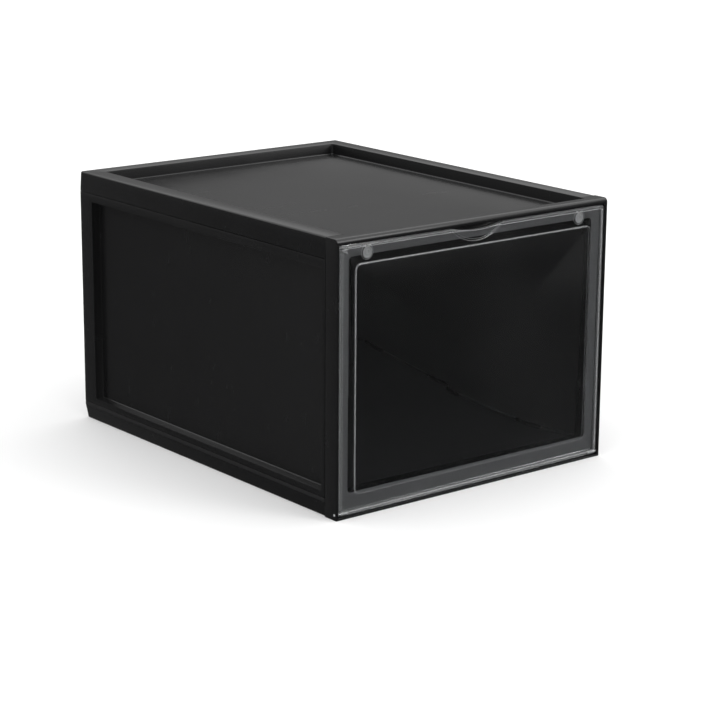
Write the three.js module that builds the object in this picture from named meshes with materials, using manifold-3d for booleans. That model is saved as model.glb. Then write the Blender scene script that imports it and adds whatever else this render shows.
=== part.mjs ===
import * as THREE from 'three';
import { mergeVertices } from 'three/addons/utils/BufferGeometryUtils.js';
import Module from 'manifold-3d';

// Stackable drop-front shoe box. Six moulded panels snap together around one hollow: a top with
// a raised rim, a base, two sides, a back and a deep front frame. A clear door sits inside the
// frame, turns down on two short pins and is held shut by two magnets.
//
// Millimetres, +Z up. The origin is the centre of the footprint on the table, +X is to the
// right seen from the front and the door faces -Y.

const wasm = await Module();
wasm.setup();

// ---- driving dimensions --------------------------------------------------------------------

const WIDTH = 280;
const DEPTH = 360;
const HEIGHT = 220;

const WALL = 2.2; // moulded wall of every panel
const SEAM = 0.3; // gap between two panels, and around anything that seats in one

const TOP_SKIRT = 17; // height of the top panel's outer skirt
const TOP_DRAFT = 0.7; // how far the top skirt leans in towards its upper edge
const TOP_EDGE_ROUND = 2;
const RIM_WIDTH = 16.5; // flat rim around the tray in the top panel
const TRAY_DEPTH = 10;

const BASE_SKIRT = 14.7; // height of the base's outer skirt
const BASE_DRAFT = 1.7; // how far the base skirt leans in towards the table
const BASE_WALL = 3.4;
const FLOOR_DROP = 2.2; // from the skirt's upper edge down to the floor
const RIB_HEIGHT = 3; // ribs under the floor
const RIBS_ACROSS = 5;
const RIBS_ALONG = 3;

const CORNER_ROUND = 2; // upright corners at the back

const RECESS_DEPTH = 8; // sunk field in the side and back panels
const BORDER_ABOVE = 7.5;
const BORDER_BELOW = 5.7;
const BORDER_FRONT = 5;
const BORDER_BACK = 18.8;
const BACK_PANEL_BORDER = 18.8;

const TAB_WIDTH = 30; // snap tabs that cross each seam
const TAB_REACH = 5;
const TAB_THICKNESS = 2;
const TAB_ROOT = 4; // height of the block that joins a tab to its flange
const TABS_LEVEL = 3; // tabs on each level edge
const TABS_UPRIGHT = 2; // tabs on each upright edge

const FRAME_DEPTH = 14.5;
const FRAME_TOP_STRIP = 9.5; // the frame's upper bar, front to back, beside the tray
const FRAME_TOP_ROUND = 3.5;
const FRAME_BORDER = 2.2; // black edge left and right of the door
const FRAME_BORDER_TOP = 5.1;
const OPENING_FROM_SIDE = 14;
const OPENING_FROM_TOP = 15.5;
const OPENING_FROM_TABLE = 19;
const OPENING_ROUND = 3;

const DOOR_GAP = 0.3;
const DOOR_PLATE = 2.2;
const DOOR_RIM = 3; // wall turned back around the door's edge
const DOOR_EDGE_ROUND = 2.7;
const DOOR_CORNER_EASE = 0.3; // how much rounder its corners are than its edges
const DOOR_FIELD_MARGIN = 15.6; // from the door's edge to its raised field
const DOOR_FIELD_RAISE = 0.8;
const DOOR_FIELD_ROUND = 5;

const BOTTOM_LIP = 1.4; // the frame's floor under the door
const HINGE_SETBACK = 2.7; // from the door's face to the pin's axis
const BARREL_RADIUS = 1.9; // round lower edge of the door about the axis
const PIN_RADIUS = 1;
const PIN_GAP = 0.25;
const PIN_LENGTH = 12;

const SCOOP_NOTCH_HALF_WIDTH = 29; // finger scoop in the door's upper edge
const SCOOP_NOTCH_DROP = 4;
const SCOOP_POCKET_HALF_WIDTH = 26;
const SCOOP_POCKET_DROP = 11.3;
const SCOOP_WALL = 1.6;

const DISC_FROM_DOOR_SIDE = 27.5; // catch discs near the door's upper corners
const DISC_FROM_DOOR_TOP = 7.8;
const DISC_RADIUS = 4.5;
const DISC_THICKNESS = 2;
const DISC_PROUD = 0.8; // how far the disc stands out behind the door's plate
const DISC_DIMPLE_RADIUS = 1.4;
const DISC_DIMPLE_DEPTH = 0.6;
const DISC_COLLAR = 1;

const MAGNET_RADIUS = 2.5;
const MAGNET_THICKNESS = 3;
const MAGNET_ABOVE_DISC = 1.7;

// ---- sizes that follow from them -----------------------------------------------------------

const HALF_WIDTH = WIDTH / 2;
const FRONT = -DEPTH / 2;
const BACK = DEPTH / 2;

const TOP_SEAM = HEIGHT - TOP_SKIRT;
const TOP_WALL = WALL + TOP_DRAFT; // the skirt's wall where it is thickest
const TRAY_FLOOR = HEIGHT - TRAY_DEPTH;
const TRAY_HALF_WIDTH = HALF_WIDTH - RIM_WIDTH;
const TRAY_BACK = BACK - RIM_WIDTH;
const TRAY_FRONT = FRONT + FRAME_TOP_STRIP;

const FRAME_BACK = FRONT + FRAME_DEPTH;
const PANEL_FRONT = FRAME_BACK + SEAM;
const OPENING_HALF_WIDTH = HALF_WIDTH - OPENING_FROM_SIDE;
const OPENING_TOP = HEIGHT - OPENING_FROM_TOP;

const FLOOR = BASE_SKIRT - FLOOR_DROP;
const SIDE_TOP = TOP_SEAM - SEAM;
const SIDE_BOTTOM = BASE_SKIRT + SEAM;

const HINGE_Y = FRONT + HINGE_SETBACK;
const HINGE_Z = BOTTOM_LIP + DOOR_GAP + HINGE_SETBACK;
const REBATE_FLOOR = HINGE_Y + BARREL_RADIUS + DOOR_GAP; // what the shut door rests against
const REBATE_HALF_WIDTH = HALF_WIDTH - FRAME_BORDER;
const REBATE_TOP = HEIGHT - FRAME_BORDER_TOP;
const FLANGE_BACK = REBATE_FLOOR + WALL;

const DOOR_CORNER_ROUND = DOOR_EDGE_ROUND + DOOR_CORNER_EASE;
const DOOR_HALF_WIDTH = REBATE_HALF_WIDTH - DOOR_GAP;
const DOOR_TOP = REBATE_TOP - DOOR_GAP;
const DOOR_BOTTOM = HINGE_Z - BARREL_RADIUS;
const DOOR_BACK = REBATE_FLOOR - DOOR_GAP;
const PLATE_FRONT = FRONT + DOOR_FIELD_RAISE;
const PLATE_BACK = PLATE_FRONT + DOOR_PLATE;
const DISC_OFFSET = DOOR_HALF_WIDTH - DISC_FROM_DOOR_SIDE;
const DISC_Z = DOOR_TOP - DISC_FROM_DOOR_TOP;
const DISC_BACK = PLATE_BACK + DISC_PROUD;
const DISC_FRONT = DISC_BACK - DISC_THICKNESS;

const BEYOND = 5; // how far a cutter runs past the solid it cuts
const ROUND_STEPS = 8;
const PIN_STEPS = 24;
const DISC_STEPS = 36;
const SCOOP_STEPS = 240;

// ---- materials -----------------------------------------------------------------------------

const blackPlastic = { color: 0x17171a, roughness: 0.38, metalness: 0 };
const clearPlastic = { color: 0xe6ebee, roughness: 0.06, metalness: 0, transparent: true, opacity: 0.3 };
const nickel = { color: 0xc9cacc, roughness: 0.25, metalness: 1 };
const magnetGrey = { color: 0x8e9093, roughness: 0.35, metalness: 1 };

// ---- solids --------------------------------------------------------------------------------

function solidOf(geometry) {
  geometry.deleteAttribute('normal');
  geometry.deleteAttribute('uv');
  const merged = mergeVertices(geometry, 1e-4);
  return new wasm.Manifold(new wasm.Mesh({
    numProp: 3,
    vertProperties: new Float32Array(merged.attributes.position.array),
    triVerts: new Uint32Array(merged.index.array),
  }));
}

function geometryOf(solid) {
  const mesh = solid.getMesh();
  const geometry = new THREE.BufferGeometry();
  geometry.setAttribute('position', new THREE.BufferAttribute(mesh.vertProperties, 3));
  geometry.setIndex(new THREE.BufferAttribute(mesh.triVerts, 1));
  geometry.computeVertexNormals();
  return geometry;
}

// A block between two corners.
function block([x0, x1], [y0, y1], [z0, z1]) {
  const geometry = new THREE.BoxGeometry(x1 - x0, y1 - y0, z1 - z0);
  geometry.translate((x0 + x1) / 2, (y0 + y1) / 2, (z0 + z1) / 2);
  return solidOf(geometry);
}

// Upright outline in (x, z), carried from y = back towards the front.
function extrudeForward(outline, back, depth, options = {}) {
  const geometry = new THREE.ExtrudeGeometry(outline, {
    depth, bevelEnabled: false, curveSegments: ROUND_STEPS, ...options,
  });
  geometry.rotateX(Math.PI / 2);
  geometry.translate(0, back, 0);
  return solidOf(geometry);
}

// Upright outline in (y, z), carried from x = left towards +X.
function extrudeAcross(outline, left, width) {
  const geometry = new THREE.ExtrudeGeometry(outline, {
    depth: width, bevelEnabled: false, curveSegments: ROUND_STEPS,
  });
  const turn = new THREE.Matrix4().makeBasis(
    new THREE.Vector3(0, 1, 0), new THREE.Vector3(0, 0, 1), new THREE.Vector3(1, 0, 0));
  geometry.applyMatrix4(turn);
  geometry.translate(left, 0, 0);
  return solidOf(geometry);
}

// Round bar along X or along Y, starting at the given point.
function barAlongX(radius, length, [x, y, z], steps) {
  const geometry = new THREE.CylinderGeometry(radius, radius, length, steps);
  geometry.rotateZ(-Math.PI / 2);
  geometry.translate(x + length / 2, y, z);
  return solidOf(geometry);
}

function barAlongY(radius, length, [x, y, z], steps) {
  const geometry = new THREE.CylinderGeometry(radius, radius, length, steps);
  geometry.translate(x, y + length / 2, z);
  return solidOf(geometry);
}

function roundedRectangle([x0, x1], [y0, y1], radius) {
  const shape = new THREE.Shape();
  shape.moveTo(x0 + radius, y0);
  shape.lineTo(x1 - radius, y0);
  shape.absarc(x1 - radius, y0 + radius, radius, -Math.PI / 2, 0, false);
  shape.lineTo(x1, y1 - radius);
  shape.absarc(x1 - radius, y1 - radius, radius, 0, Math.PI / 2, false);
  shape.lineTo(x0 + radius, y1);
  shape.absarc(x0 + radius, y1 - radius, radius, Math.PI / 2, Math.PI, false);
  shape.lineTo(x0, y0 + radius);
  shape.absarc(x0 + radius, y0 + radius, radius, Math.PI, Math.PI * 1.5, false);
  return shape;
}

// Footprint with square corners in front and rounded ones at the back.
function footprint(halfWidth, front, back, radius) {
  const shape = new THREE.Shape();
  shape.moveTo(-halfWidth, front);
  shape.lineTo(halfWidth, front);
  shape.lineTo(halfWidth, back - radius);
  shape.absarc(halfWidth - radius, back - radius, radius, 0, Math.PI / 2, false);
  shape.lineTo(-halfWidth + radius, back);
  shape.absarc(-halfWidth + radius, back - radius, radius, Math.PI / 2, Math.PI, false);
  return shape;
}

// Skirted slab on the footprint whose sides and back lean in by `draft` at the given level.
function draftedSlab(bottom, top, draft, narrowLevel) {
  const height = top - bottom;
  const geometry = new THREE.ExtrudeGeometry(footprint(HALF_WIDTH, PANEL_FRONT, BACK, CORNER_ROUND), {
    depth: height, bevelEnabled: false, curveSegments: ROUND_STEPS,
  });
  geometry.translate(0, 0, bottom);
  const position = geometry.attributes.position;
  for (let i = 0; i < position.count; i += 1) {
    const share = 1 - Math.abs(position.getZ(i) - narrowLevel) / height;
    position.setX(i, position.getX(i) - Math.sign(position.getX(i)) * draft * share);
    if (position.getY(i) > 0) {
      position.setY(i, position.getY(i) - draft * share);
    }
  }
  return solidOf(geometry);
}

// Places of `count` equal features spread over a run, with half a pitch at each end.
function spread(count, [from, to]) {
  const pitch = (to - from) / count;
  return Array.from({ length: count }, (_, i) => from + pitch * (i + 0.5));
}

function mirrored(solid) {
  return solid.mirror([1, 0, 0]);
}

// ---- top panel: a tray with a hollow rim ---------------------------------------------------

function topPanel() {
  const slab = draftedSlab(TOP_SEAM, HEIGHT, TOP_DRAFT, HEIGHT);
  const tray = block(
    [-TRAY_HALF_WIDTH, TRAY_HALF_WIDTH], [PANEL_FRONT - BEYOND, TRAY_BACK], [TRAY_FLOOR, HEIGHT + BEYOND]);
  const hollow = block(
    [-HALF_WIDTH + TOP_WALL, HALF_WIDTH - TOP_WALL],
    [PANEL_FRONT - BEYOND, BACK - TOP_WALL],
    [TOP_SEAM - BEYOND, HEIGHT - WALL]);
  const trayShell = block(
    [-TRAY_HALF_WIDTH - WALL, TRAY_HALF_WIDTH + WALL],
    [PANEL_FRONT - 2 * BEYOND, TRAY_BACK + WALL],
    [TRAY_FLOOR - WALL, HEIGHT + BEYOND]);
  const tongue = block(
    [-TRAY_HALF_WIDTH + SEAM, TRAY_HALF_WIDTH - SEAM],
    [TRAY_FRONT + SEAM, PANEL_FRONT + WALL],
    [TRAY_FLOOR - WALL, TRAY_FLOOR]);
  return slab
    .subtract(roundedUpperEdge())
    .subtract(tray)
    .subtract(hollow.subtract(trayShell))
    .add(tongue);
}

// What a fillet takes off the upper outer edge of the left, right and back rim.
function roundedUpperEdge() {
  const radius = TOP_EDGE_ROUND;
  const wide = HALF_WIDTH - TOP_DRAFT;
  const behind = BACK - TOP_DRAFT;
  const alongSide = extrudeForward(
    edgeCutter(-wide, HEIGHT, radius), BACK + BEYOND, DEPTH + 2 * BEYOND);
  const alongBack = extrudeAcross(
    edgeCutter(behind, HEIGHT, -radius), -HALF_WIDTH - BEYOND, WIDTH + 2 * BEYOND);
  return alongSide.add(mirrored(alongSide)).add(alongBack);
}

// Corner outside a fillet whose square corner is (edge, top). A negative radius lies behind it.
function edgeCutter(edge, top, radius) {
  const size = Math.abs(radius);
  const outward = -Math.sign(radius);
  const shape = new THREE.Shape();
  shape.moveTo(edge + outward * BEYOND, top - size);
  shape.lineTo(edge, top - size);
  if (radius > 0) {
    shape.absarc(edge + size, top - size, size, Math.PI, Math.PI / 2, true);
  } else {
    shape.absarc(edge - size, top - size, size, 0, Math.PI / 2, false);
  }
  shape.lineTo(edge - outward * size, top + BEYOND);
  shape.lineTo(edge + outward * BEYOND, top + BEYOND);
  return shape;
}

// ---- base: drafted skirt, floor and ribs ---------------------------------------------------

function bottomPanel() {
  const slab = draftedSlab(0, BASE_SKIRT, BASE_DRAFT, 0);
  const insideHalf = HALF_WIDTH - BASE_WALL;
  const insideBack = BACK - BASE_WALL;
  const above = block(
    [-insideHalf, insideHalf], [PANEL_FRONT - BEYOND, insideBack], [FLOOR, BASE_SKIRT + BEYOND]);
  const under = block(
    [-insideHalf, insideHalf], [PANEL_FRONT + WALL, insideBack], [-BEYOND, FLOOR - WALL]);
  let panel = slab.subtract(above).subtract(under);
  const ribLevels = [FLOOR - WALL - RIB_HEIGHT, FLOOR - WALL / 2];
  for (const y of spread(RIBS_ACROSS, [PANEL_FRONT, insideBack])) {
    const rib = [y - WALL / 2, y + WALL / 2];
    panel = panel.add(block([-insideHalf - SEAM, insideHalf + SEAM], rib, ribLevels));
  }
  for (const x of spread(RIBS_ALONG, [-insideHalf, insideHalf])) {
    const rib = [x - WALL / 2, x + WALL / 2];
    panel = panel.add(block(rib, [PANEL_FRONT + SEAM, insideBack + SEAM], ribLevels));
  }
  return panel;
}

// ---- side panels and back: a flat flange with a sunk field ----------------------------------

// Each tab is a root behind the flange and a tongue that runs past the seam behind the skirt.
const TOP_TAB_Z = [SIDE_TOP - TAB_ROOT, SIDE_TOP + TAB_REACH];
const TOP_ROOT_Z = [SIDE_TOP - TAB_ROOT, SIDE_TOP];
const BASE_TAB_Z = [FLOOR + SEAM, SIDE_BOTTOM + TAB_ROOT];
const BASE_ROOT_Z = [SIDE_BOTTOM, SIDE_BOTTOM + TAB_ROOT];

function leftSidePanel() {
  const outer = -HALF_WIDTH;
  const round = Math.min(CORNER_ROUND, WALL);
  const outline = new THREE.Shape();
  outline.moveTo(outer, PANEL_FRONT);
  outline.lineTo(outer + WALL, PANEL_FRONT);
  outline.lineTo(outer + WALL, BACK);
  outline.lineTo(outer + round, BACK);
  outline.absarc(outer + round, BACK - round, round, Math.PI / 2, Math.PI, false);
  const flangeGeometry = new THREE.ExtrudeGeometry(outline, {
    depth: SIDE_TOP - SIDE_BOTTOM, bevelEnabled: false, curveSegments: ROUND_STEPS,
  });
  flangeGeometry.translate(0, 0, SIDE_BOTTOM);

  const fieldY = [FRAME_BACK + BORDER_FRONT, BACK - BORDER_BACK];
  const fieldZ = [BASE_SKIRT + BORDER_BELOW, TOP_SEAM - BORDER_ABOVE];
  const pan = block(
    [outer, outer + RECESS_DEPTH + WALL],
    [fieldY[0] - WALL, fieldY[1] + WALL],
    [fieldZ[0] - WALL, fieldZ[1] + WALL]);
  const field = block([outer - BEYOND, outer + RECESS_DEPTH], fieldY, fieldZ);

  const across = (wall) => ({
    tongue: [outer + wall + SEAM, outer + wall + SEAM + TAB_THICKNESS],
    root: [outer + WALL / 2, outer + wall + SEAM + TAB_THICKNESS],
  });
  let panel = solidOf(flangeGeometry).add(pan).subtract(field);
  for (const y of spread(TABS_LEVEL, fieldY)) {
    const along = [y - TAB_WIDTH / 2, y + TAB_WIDTH / 2];
    const top = across(TOP_WALL);
    const base = across(BASE_WALL);
    panel = panel
      .add(block(top.tongue, along, TOP_TAB_Z))
      .add(block(top.root, along, TOP_ROOT_Z))
      .add(block(base.tongue, along, BASE_TAB_Z))
      .add(block(base.root, along, BASE_ROOT_Z));
  }
  for (const z of spread(TABS_UPRIGHT, fieldZ)) {
    const along = [z - TAB_WIDTH / 2, z + TAB_WIDTH / 2];
    const front = across(WALL);
    panel = panel
      .add(block(front.tongue, [PANEL_FRONT - TAB_REACH, PANEL_FRONT + TAB_ROOT], along))
      .add(block(front.root, [PANEL_FRONT, PANEL_FRONT + TAB_ROOT], along));
  }
  return panel;
}

function backPanel() {
  const halfWidth = HALF_WIDTH - WALL - SEAM;
  const flange = block([-halfWidth, halfWidth], [BACK - WALL, BACK], [SIDE_BOTTOM, SIDE_TOP]);
  const fieldX = [-HALF_WIDTH + BACK_PANEL_BORDER, HALF_WIDTH - BACK_PANEL_BORDER];
  const fieldZ = [BASE_SKIRT + BORDER_BELOW, TOP_SEAM - BORDER_ABOVE];
  const pan = block(
    [fieldX[0] - WALL, fieldX[1] + WALL],
    [BACK - RECESS_DEPTH - WALL, BACK],
    [fieldZ[0] - WALL, fieldZ[1] + WALL]);
  const field = block(fieldX, [BACK - RECESS_DEPTH, BACK + BEYOND], fieldZ);

  const across = (wall) => ({
    tongue: [BACK - wall - SEAM - TAB_THICKNESS, BACK - wall - SEAM],
    root: [BACK - wall - SEAM - TAB_THICKNESS, BACK - WALL / 2],
  });
  let panel = flange.add(pan).subtract(field);
  for (const x of spread(TABS_LEVEL, fieldX)) {
    const along = [x - TAB_WIDTH / 2, x + TAB_WIDTH / 2];
    const top = across(TOP_WALL);
    const base = across(BASE_WALL);
    panel = panel
      .add(block(along, top.tongue, TOP_TAB_Z))
      .add(block(along, top.root, TOP_ROOT_Z))
      .add(block(along, base.tongue, BASE_TAB_Z))
      .add(block(along, base.root, BASE_ROOT_Z));
  }
  for (const z of spread(TABS_UPRIGHT, fieldZ)) {
    const tab = block(
      [-halfWidth, -halfWidth + TAB_THICKNESS],
      [BACK - WALL - TAB_REACH, BACK - WALL / 2],
      [z - TAB_WIDTH / 2, z + TAB_WIDTH / 2]);
    panel = panel.add(tab).add(mirrored(tab));
  }
  return panel;
}

// ---- front frame: a channel that is open at the back, with a rebate for the door ------------

function frontFrame() {
  const profile = new THREE.Shape();
  profile.moveTo(FRONT, 0);
  profile.lineTo(FRAME_BACK, 0);
  profile.lineTo(FRAME_BACK, HEIGHT);
  profile.lineTo(FRONT + FRAME_TOP_ROUND, HEIGHT);
  profile.absarc(
    FRONT + FRAME_TOP_ROUND, HEIGHT - FRAME_TOP_ROUND, FRAME_TOP_ROUND, Math.PI / 2, Math.PI, false);
  const stock = extrudeAcross(profile, -HALF_WIDTH, WIDTH);

  const rebate = block(
    [-REBATE_HALF_WIDTH, REBATE_HALF_WIDTH], [FRONT - BEYOND, REBATE_FLOOR], [BOTTOM_LIP, REBATE_TOP]);
  const openingOutline = roundedRectangle(
    [-OPENING_HALF_WIDTH, OPENING_HALF_WIDTH], [OPENING_FROM_TABLE, OPENING_TOP], OPENING_ROUND);
  const opening = extrudeForward(openingOutline, FRAME_BACK + BEYOND, FRAME_DEPTH + 2 * BEYOND);
  const sleeve = OPENING_HALF_WIDTH + WALL;
  const channel = block(
    [-HALF_WIDTH + WALL, -sleeve], [FLANGE_BACK, FRAME_BACK + BEYOND], [BOTTOM_LIP, HEIGHT - WALL]);
  const lowerChannel = block(
    [-HALF_WIDTH + WALL, HALF_WIDTH - WALL],
    [FLANGE_BACK, FRAME_BACK + BEYOND],
    [BOTTOM_LIP, OPENING_FROM_TABLE - WALL]);
  const seatForTray = block(
    [-TRAY_HALF_WIDTH, TRAY_HALF_WIDTH],
    [TRAY_FRONT, FRAME_BACK + BEYOND],
    [TRAY_FLOOR - WALL - SEAM, HEIGHT + BEYOND]);
  const pinHole = barAlongX(
    PIN_RADIUS + PIN_GAP, FRAME_BORDER + 2 * BEYOND, [-HALF_WIDTH - BEYOND, HINGE_Y, HINGE_Z], PIN_STEPS);
  const magnetPocket = barAlongY(
    MAGNET_RADIUS + SEAM,
    MAGNET_THICKNESS + SEAM + BEYOND,
    [-DISC_OFFSET, REBATE_FLOOR - BEYOND, DISC_Z + MAGNET_ABOVE_DISC],
    DISC_STEPS);
  return stock
    .subtract(rebate)
    .subtract(opening)
    .subtract(channel)
    .subtract(mirrored(channel))
    .subtract(lowerChannel)
    .subtract(seatForTray)
    .subtract(pinHole)
    .subtract(mirrored(pinHole))
    .subtract(magnetPocket)
    .subtract(mirrored(magnetPocket));
}

// ---- door: a clear plate with a turned-back rim, a raised field and a finger scoop ----------

function doorOutline(inset, radius) {
  return roundedRectangle(
    [-DOOR_HALF_WIDTH + inset, DOOR_HALF_WIDTH - inset], [DOOR_BOTTOM + inset, DOOR_TOP - inset], radius);
}

function door() {
  const depth = DOOR_BACK - FRONT;
  const shell = extrudeForward(
    doorOutline(DOOR_EDGE_ROUND, DOOR_CORNER_EASE),
    DOOR_BACK,
    depth - DOOR_EDGE_ROUND,
    { bevelEnabled: true, bevelThickness: DOOR_EDGE_ROUND, bevelSize: DOOR_EDGE_ROUND, bevelSegments: 6 });
  const behindDoor = block(
    [-HALF_WIDTH, HALF_WIDTH], [DOOR_BACK, DOOR_BACK + DEPTH], [-BEYOND, HEIGHT]);
  const inside = extrudeForward(
    doorOutline(DOOR_RIM, DOOR_CORNER_ROUND), DOOR_BACK + BEYOND, DOOR_BACK - PLATE_BACK + BEYOND);

  const margin = DOOR_FIELD_MARGIN;
  const fieldFront = extrudeForward(
    doorOutline(margin, DOOR_FIELD_ROUND), PLATE_FRONT + BEYOND, BEYOND + depth);
  const sunkBorder = extrudeForward(doorOutline(DOOR_RIM, DOOR_CORNER_ROUND), PLATE_FRONT, depth)
    .subtract(fieldFront);
  const fieldBack = extrudeForward(
    doorOutline(margin + WALL / 2, DOOR_FIELD_ROUND), DOOR_BACK, DOOR_BACK - PLATE_BACK + DOOR_FIELD_RAISE);

  const socketFloor = DISC_FRONT - SEAM;
  const collar = barAlongY(
    DISC_RADIUS + SEAM + DISC_COLLAR,
    DISC_BACK - socketFloor,
    [-DISC_OFFSET, socketFloor, DISC_Z],
    DISC_STEPS);
  const socket = barAlongY(
    DISC_RADIUS + SEAM, DISC_THICKNESS + BEYOND, [-DISC_OFFSET, socketFloor, DISC_Z], DISC_STEPS);
  const pinHole = barAlongX(
    PIN_RADIUS + PIN_GAP, PIN_LENGTH + SEAM, [-HALF_WIDTH, HINGE_Y, HINGE_Z], PIN_STEPS);

  return shell
    .subtract(behindDoor)
    .subtract(inside)
    .subtract(sunkBorder)
    .subtract(fieldBack)
    .add(collar)
    .add(mirrored(collar))
    .add(hingeBarrel())
    .add(scoopWall())
    .subtract(barrelRelief())
    .subtract(socket)
    .subtract(mirrored(socket))
    .subtract(pinHole)
    .subtract(mirrored(pinHole))
    .subtract(scoopPocket())
    .subtract(scoopNotch());
}

// Solid lower edge that the pins run in.
function hingeBarrel() {
  const left = -DOOR_HALF_WIDTH + DOOR_RIM;
  return barAlongX(BARREL_RADIUS, -2 * left, [left, HINGE_Y, HINGE_Z], PIN_STEPS);
}

// Takes the lower back corner down to an arc about the axis, so that the door turns clear.
function barrelRelief() {
  const radius = BARREL_RADIUS;
  const shape = new THREE.Shape();
  shape.moveTo(HINGE_Y, HINGE_Z - radius - BEYOND);
  shape.lineTo(HINGE_Y + radius + BEYOND, HINGE_Z - radius - BEYOND);
  shape.lineTo(HINGE_Y + radius + BEYOND, HINGE_Z);
  shape.lineTo(HINGE_Y + radius, HINGE_Z);
  shape.absarc(HINGE_Y, HINGE_Z, radius, 0, -Math.PI / 2, true);
  return extrudeAcross(shape, -HALF_WIDTH, WIDTH);
}

// Cuts for the scoop: a shallow notch through the door, and behind the plate a deeper pocket that
// a fingertip hooks into. A curved wall carries the turned-back rim round the pocket.
function scoopArc(halfWidth, drop, growth, y0, y1) {
  const radius = (halfWidth ** 2 + drop ** 2) / (2 * drop);
  const centre = [0, y0, DOOR_TOP - drop + radius];
  return barAlongY(radius + growth, y1 - y0, centre, SCOOP_STEPS);
}

function scoopNotch() {
  return scoopArc(SCOOP_NOTCH_HALF_WIDTH, SCOOP_NOTCH_DROP, 0, FRONT - BEYOND, DOOR_BACK + BEYOND);
}

function scoopPocket() {
  return scoopArc(SCOOP_POCKET_HALF_WIDTH, SCOOP_POCKET_DROP, 0, PLATE_BACK, DOOR_BACK + BEYOND);
}

function scoopWall() {
  const root = PLATE_BACK - DOOR_PLATE / 2;
  const belowEdge = block(
    [-DOOR_HALF_WIDTH, DOOR_HALF_WIDTH], [FRONT, DOOR_BACK], [DOOR_BOTTOM, DOOR_TOP]);
  return scoopArc(SCOOP_POCKET_HALF_WIDTH, SCOOP_POCKET_DROP, SCOOP_WALL, root, DOOR_BACK)
    .intersect(belowEdge);
}

// ---- small metal pieces on the left, copied to the right -------------------------------------

function hingePin() {
  return barAlongX(PIN_RADIUS, PIN_LENGTH, [-HALF_WIDTH, HINGE_Y, HINGE_Z], PIN_STEPS);
}

function catchDisc() {
  const disc = barAlongY(DISC_RADIUS, DISC_THICKNESS, [-DISC_OFFSET, DISC_FRONT, DISC_Z], DISC_STEPS);
  const dimple = barAlongY(
    DISC_DIMPLE_RADIUS, DISC_DIMPLE_DEPTH + BEYOND, [-DISC_OFFSET, DISC_FRONT - BEYOND, DISC_Z], DISC_STEPS);
  return disc.subtract(dimple);
}

function frameMagnet() {
  return barAlongY(
    MAGNET_RADIUS, MAGNET_THICKNESS, [-DISC_OFFSET, REBATE_FLOOR, DISC_Z + MAGNET_ABOVE_DISC], DISC_STEPS);
}

// ---- assembly ------------------------------------------------------------------------------

const box = new THREE.Group();

function place(name, solid, material) {
  const mesh = new THREE.Mesh(geometryOf(solid), new THREE.MeshStandardMaterial(material));
  mesh.name = name;
  box.add(mesh);
}

place('top_panel', topPanel(), blackPlastic);
place('bottom_panel', bottomPanel(), blackPlastic);
place('left_side_panel', leftSidePanel(), blackPlastic);
place('right_side_panel', mirrored(leftSidePanel()), blackPlastic);
place('back_panel', backPanel(), blackPlastic);
place('front_frame', frontFrame(), blackPlastic);
place('door', door(), clearPlastic);
place('hinge_pin_left', hingePin(), nickel);
place('hinge_pin_right', mirrored(hingePin()), nickel);
place('door_disc_left', catchDisc(), nickel);
place('door_disc_right', mirrored(catchDisc()), nickel);
place('frame_magnet_left', frameMagnet(), magnetGrey);
place('frame_magnet_right', mirrored(frameMagnet()), magnetGrey);

export default box;
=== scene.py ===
"""A stackable drop-front shoe box of black moulded panels, with a clear magnetic door.

Metres. The box stands on z = 0 with its door towards -Y and its left side towards -X.
"""
import math

import bmesh
import bpy
from mathutils import Matrix, Vector


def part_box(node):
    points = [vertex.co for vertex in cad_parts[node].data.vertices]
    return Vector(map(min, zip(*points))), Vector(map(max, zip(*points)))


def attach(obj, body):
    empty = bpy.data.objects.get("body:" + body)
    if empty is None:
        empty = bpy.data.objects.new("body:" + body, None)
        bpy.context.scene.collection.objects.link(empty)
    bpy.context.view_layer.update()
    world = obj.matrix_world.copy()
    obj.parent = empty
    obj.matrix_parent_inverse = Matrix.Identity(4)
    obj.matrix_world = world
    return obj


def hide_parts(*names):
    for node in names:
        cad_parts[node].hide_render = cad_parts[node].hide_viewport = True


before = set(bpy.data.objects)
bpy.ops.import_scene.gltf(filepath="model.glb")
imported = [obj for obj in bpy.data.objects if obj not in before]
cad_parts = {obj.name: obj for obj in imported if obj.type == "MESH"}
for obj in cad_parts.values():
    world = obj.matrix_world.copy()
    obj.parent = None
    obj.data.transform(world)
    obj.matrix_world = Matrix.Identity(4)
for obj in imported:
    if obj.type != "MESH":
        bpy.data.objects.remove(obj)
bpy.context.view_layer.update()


# ---- Camera ----------------------------------------------------------------------------------
# It looks down on the box a little from the front left, from far off through a long lens, so
# that the upright edges stay nearly parallel.

def aim_camera():
    azimuth = math.radians(-38.78)
    elevation = math.radians(14.92)
    roll = math.radians(0.412)
    distance = 1.9154
    to_the_right = 0.0206
    upwards = -0.0412
    target = Vector((0, 0, 0.110))

    backward = Vector((
        math.sin(azimuth) * math.cos(elevation),
        -math.cos(azimuth) * math.cos(elevation),
        math.sin(elevation),
    ))
    level_right = Vector((math.cos(azimuth), math.sin(azimuth), 0))
    level_up = backward.cross(level_right)
    right = math.cos(roll) * level_right + math.sin(roll) * level_up
    up = math.cos(roll) * level_up - math.sin(roll) * level_right

    data = bpy.data.cameras.new("camera")
    data.lens = 112.64
    data.sensor_width = 36
    camera = bpy.data.objects.new("camera", data)
    place = target + backward * distance + right * to_the_right + up * upwards
    axes = Matrix((right, up, backward)).transposed().to_4x4()
    camera.matrix_world = Matrix.Translation(place) @ axes
    bpy.context.collection.objects.link(camera)
    bpy.context.scene.camera = camera


aim_camera()


# ---- Top panel -------------------------------------------------------------------------------
# A moulded tray with a hollow rim on three sides, which the next box stands on. Its skirt leans
# in a little so that it leaves the mould, and covers the tabs of the panels below it.

MM = 0.001
spare = 5 * MM


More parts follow.
